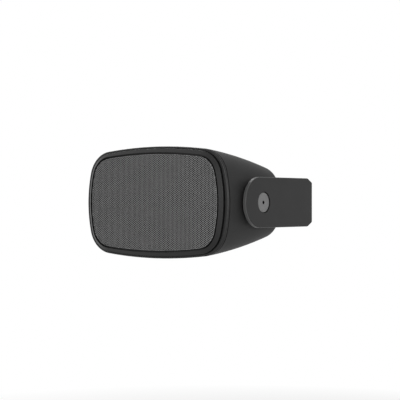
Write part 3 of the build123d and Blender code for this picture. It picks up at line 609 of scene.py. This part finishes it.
def stretchedCloth():
    mesh = bmesh.new()
    inset, depth = weatherCloth["inset"], weatherCloth["depth"]
    loops = [ovalLoop(mesh, inset + ring, depth, weatherCloth["steps"])
             for ring in weatherCloth["rings"]]
    for outer, inner in zip(loops, loops[1:]):
        bmesh.ops.bridge_loops(mesh, edges=outer + inner)
    bmesh.ops.holes_fill(mesh, edges=loops[-1], sides=0)
    area = sum(face.calc_area() for face in mesh.faces) * mm * mm
    piece = finishMesh(mesh, "weatherCloth", "grille_cloth", "cabinet", "grille_cloth")
    skin = piece.modifiers.new("thread", "SOLIDIFY")
    skin.thickness = weatherCloth["thickness"] * mm
    skin.offset = 0.0


stretchedCloth()
print("weather cloth made")

# Rear screws: pan heads with a cross recess
rearScrew = dict(head=3.4, height=1.6, shank=1.75, reach=6.2, segments=24, sharp=40,
                 arm=1.75, slot=0.8, recess=0.9, taper=0.7,  # the cross and its depth
                 crown=((0.62, 0.0), (0.86, 0.22), (0.97, 0.62), (1.0, 1.0)),  # radius share, drop
                 turns=(12, 51, 77, 33))


def crossPlate(mesh):  # five squares in a cross
    arm, slot = rearScrew["arm"], rearScrew["slot"] / 2
    verts = bmesh.ops.create_grid(mesh, x_segments=3, y_segments=3, size=arm)["verts"]
    for vert in verts:
        x, y = (math.copysign(arm if abs(at) > arm / 2 else slot, at) for at in vert.co.xy)
        vert.co = (x, y, 0)
    own = set(verts)
    faces = [face for face in mesh.faces if face.verts[0] in own]
    corners = [face for face in faces if min(map(abs, face.calc_center_median().xy)) > slot]
    bmesh.ops.delete(mesh, geom=corners, context="FACES")
    rim = [edge for edge in mesh.edges if edge.is_boundary and edge.verts[0] in own]
    return [face for face in faces if face.is_valid], rim


def crossHead(mesh):  # one screw along Z, its head at the top
    head, shank, height = rearScrew["head"], rearScrew["shank"], rearScrew["height"]
    crossFaces, crossRim = crossPlate(mesh)
    crown = [(head * share, drop) for share, drop in rearScrew["crown"]]
    radius = crown[0][0]
    ring = bmesh.ops.create_circle(mesh, segments=rearScrew["segments"], radius=radius)["verts"]
    loop = list(dict.fromkeys(edge for vert in ring for edge in vert.link_edges))
    bmesh.ops.triangle_fill(mesh, use_beauty=True, edges=crossRim + loop)
    pit = onlyVerts(bmesh.ops.extrude_face_region(mesh, geom=crossFaces)["geom"])
    bmesh.ops.scale(mesh, vec=(rearScrew["taper"], rearScrew["taper"], 1), verts=pit)
    bmesh.ops.translate(mesh, vec=(0, 0, -rearScrew["recess"]), verts=pit)
    sides = [(head, height), (shank, height), (shank, height + rearScrew["reach"])]
    for nextRadius, drop in crown[1:] + sides:
        grow = nextRadius / radius
        loop = extrudeLoop(mesh, loop, lambda at: Vector((at.x * grow, at.y * grow, -drop)))
        radius = nextRadius
    bmesh.ops.holes_fill(mesh, edges=loop, sides=0)


def rearScrews():
    low, high = (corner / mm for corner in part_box("terminal_screws"))
    mesh = bmesh.new()
    head = rearScrew["head"]
    spots = [(x, z) for x in (low.x + head, high.x - head) for z in (low.z + head, high.z - head)]
    for (x, z), turn in zip(spots, rearScrew["turns"]):
        before = set(mesh.verts)
        crossHead(mesh)
        rearwards = Matrix.Translation((x, high.y, z)) @ Matrix.Rotation(-math.pi / 2, 4, "X")
        bmesh.ops.transform(mesh, matrix=rearwards @ Matrix.Rotation(math.radians(turn), 4, "Z"),
                            verts=[vert for vert in mesh.verts if vert not in before])
    piece = finishMesh(mesh, "rearScrews", "screw_steel", "cabinet", "terminal_screws")
    smoothSides(piece, rearScrew["sharp"])


rearScrews()
print("rear screws made")

# Contact leaves behind the push buttons: each one is cut across where it would bend as its button
# goes in
contactLeaf = dict(start=0.48, end=0.084, cuts=6,  # the bend is so far below the button's flange
                   middle=0.3, lean=0.04)  # inside the leaf, and tipped to leave the foot still


def bentContact(colour):
    node = frame["nodes"]["terminal_contact_" + colour]
    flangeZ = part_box("terminal_button_" + colour)[0].z / mm
    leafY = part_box(node.name)[0].y / mm + contactLeaf["middle"]
    start = Vector((0, leafY, flangeZ - contactLeaf["start"]))
    end = Vector((0, leafY - contactLeaf["lean"], flangeZ - contactLeaf["end"]))
    mesh = bmesh.new()
    mesh.from_mesh(node.data)
    toMillimetres = Matrix.Scale(1 / mm, 4) @ node.matrix_world
    bmesh.ops.transform(mesh, matrix=toMillimetres, verts=mesh.verts)
    bmesh.ops.remove_doubles(mesh, verts=mesh.verts, dist=joinGap)
    for step in range(contactLeaf["cuts"] + 1):
        cut = start.lerp(end, step / contactLeaf["cuts"])
        bmesh.ops.bisect_plane(mesh, geom=everyPart(mesh), dist=joinGap / 10,
                               plane_co=cut, plane_no=(0, 0, 1))
    piece = finishMesh(mesh, colour + "ContactLeaf", "insert_brass", None, node.name)
    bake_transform(piece)


bentContact("red")
bentContact("black")
print("contact leaves made")

# Studio: floor, world, lamps and camera
studio = dict(floorMiddle=-0.1, floorDrop=0.42, floorReach=4.0, floorTone=grey(0.86),
              fadeStart=0.55, fadeEnd=1.1,  # the floor turns white from here to there
              worldFill=0.4, target=(0, -0.12, 0))


def seenDirectly(tree):  # by the camera, in a reflection or through something clear
    light = addNode(tree, "ShaderNodeLightPath")
    straight, mirrored = light.outputs["Is Camera Ray"], light.outputs["Is Glossy Ray"]
    seen = mathNode(tree, "MAXIMUM", straight, mirrored)
    return mathNode(tree, "MAXIMUM", seen, light.outputs["Is Transmission Ray"])


def mixShaders(tree, factor, first, second, output):
    mix = addNode(tree, "ShaderNodeMixShader")
    for socket, source in zip(mix.inputs, (factor, first.outputs[0], second.outputs[0])):
        tree.links.new(source, socket)
    tree.links.new(mix.outputs[0], tree.nodes[output].inputs["Surface"])


def paleFloor():
    mesh = bmesh.new()
    middle = (0, studio["floorMiddle"], -studio["floorDrop"])
    bmesh.ops.create_circle(mesh, cap_ends=True, segments=64, radius=studio["floorReach"],
                            matrix=Matrix.Translation(middle))
    data = bpy.data.meshes.new("floor")
    mesh.to_mesh(data)
    mesh.free()
    floor = bpy.data.objects.new("floor", data)
    scene.collection.objects.link(floor)
    material, tree, shader = newMaterial("paleFloor", roughness=0.9, specular=0.1)
    shader.inputs["Base Color"].default_value = (*studio["floorTone"], 1)
    place = addNode(tree, "ShaderNodeTexCoord")
    far = addNode(tree, "ShaderNodeVectorMath", operation="LENGTH")
    tree.links.new(place.outputs["Object"], far.inputs[0])
    fade = rangeNode(tree, far.outputs["Value"], studio["fadeStart"], studio["fadeEnd"])
    white = addNode(tree, "ShaderNodeEmission")
    whiteShare = mathNode(tree, "MULTIPLY", fade, seenDirectly(tree))
    mixShaders(tree, whiteShare, shader, white, "Material Output")
    data.materials.append(material)


def whiteWorld():
    world = bpy.data.worlds.new("studio")
    scene.world = world
    world.use_nodes = True
    tree = world.node_tree
    fill = tree.nodes["Background"]
    feed(tree, fill, Color=(1, 1, 1, 1), Strength=studio["worldFill"])
    backdrop = addNode(tree, "ShaderNodeBackground")
    feed(tree, backdrop, Color=(1, 1, 1, 1), Strength=1.0)
    mixShaders(tree, seenDirectly(tree), fill, backdrop, "World Output")


lamps = {  # place, width and height, and power
    "frontLamp": dict(place=(0.1, -1.9, 0.35), size=(1.1, 1.1), power=14.0),
    "topLamp": dict(place=(-1.05, 0.6, 1.25), size=(0.5, 1.5), power=13.0),
    "sideLamp": dict(place=(1.8, -1.0, 0.2), size=(1.1, 0.4), power=17.0),
}


def softLamps():
    target = Vector(studio["target"])
    for name, lamp in lamps.items():
        data = bpy.data.lights.new(name, "AREA")
        data.shape = "ELLIPSE"
        data.size, data.size_y = lamp["size"]
        data.energy = lamp["power"]
        item = bpy.data.objects.new(name, data)
        item.location = lamp["place"]
        item.rotation_euler = (target - item.location).to_track_quat("-Z", "Y").to_euler()
        scene.collection.objects.link(item)


view = dict(right=1.0379, ahead=1.2634, turn=37.33,  # from the rim's middle
            lens=109.67, sensor=36.0, shift=0.00605)


def photoCamera():
    data = bpy.data.cameras.new("photoCamera")
    data.sensor_fit = "HORIZONTAL"
    data.sensor_width = view["sensor"]
    data.lens = view["lens"]
    data.shift_y = view["shift"]
    camera = bpy.data.objects.new("photoCamera", data)
    camera.location = (view["right"], rimY * mm - view["ahead"], 0)
    camera.rotation_euler = (math.pi / 2, 0, math.radians(view["turn"]))
    scene.collection.objects.link(camera)
    scene.camera = camera


paleFloor()
whiteWorld()
softLamps()
photoCamera()
print("studio ready")
